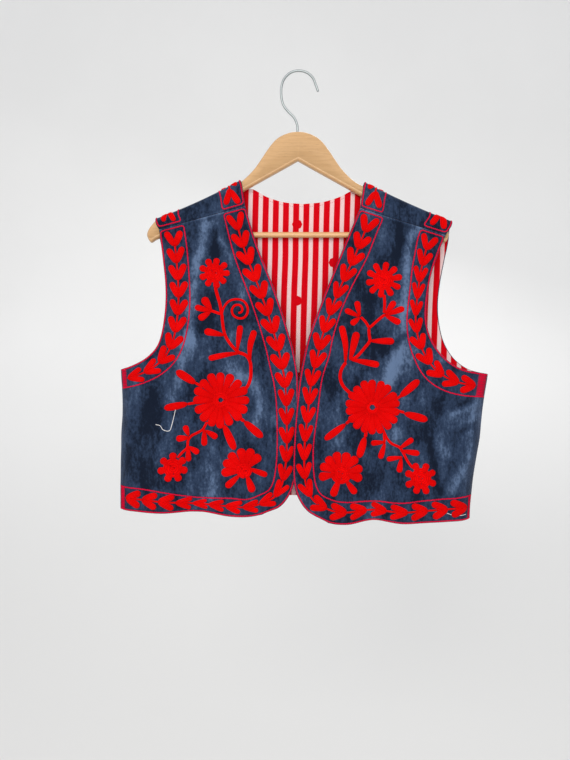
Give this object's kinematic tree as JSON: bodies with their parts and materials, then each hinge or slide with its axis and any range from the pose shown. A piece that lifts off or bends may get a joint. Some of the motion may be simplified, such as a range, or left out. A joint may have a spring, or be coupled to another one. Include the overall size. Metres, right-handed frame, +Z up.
{
  "type": "embroidered folk vest on a wooden hanger",
  "caption": "Open sleeveless velvet vest with red chain-stitch flowers and vines and a striped lining, hanging flat on a wooden hanger with a wire hook.",
  "frame": {"origin": "the point inside the crown of the hook, where the hook bears on whatever holds it", "axes": "+Z up, +X to the viewer's right, which is the wearer's left, and -Y to the garment's front"},
  "size_m": [0.5362, 0.0482, 0.656],
  "materials": {
    "velvet": "dark blue cotton velvet with a brushed, uneven pile",
    "striped_lining": "plain cotton with red and off-white stripes",
    "red_wool": "matte red wool yarn in chain stitch",
    "beech": "satin varnished beech",
    "pale_beech": "bare beech dowel",
    "steel_wire": "bright zinc-plated steel wire"
  },
  "bodies": {
    "root": {"right_front": "velvet", "left_front": "velvet", "back": "velvet", "back_lining": "striped_lining", "right_upper_flower": "red_wool", "right_big_flower": "red_wool", "right_small_flower": "red_wool", "right_corner_flower": "red_wool", "left_upper_flower": "red_wool", "left_big_flower": "red_wool", "left_small_flower": "red_wool", "left_corner_flower": "red_wool", "hanger_arms": "beech", "hanger_bar": "pale_beech", "hanger_hook": "steel_wire"}
  },
  "joints": []
}
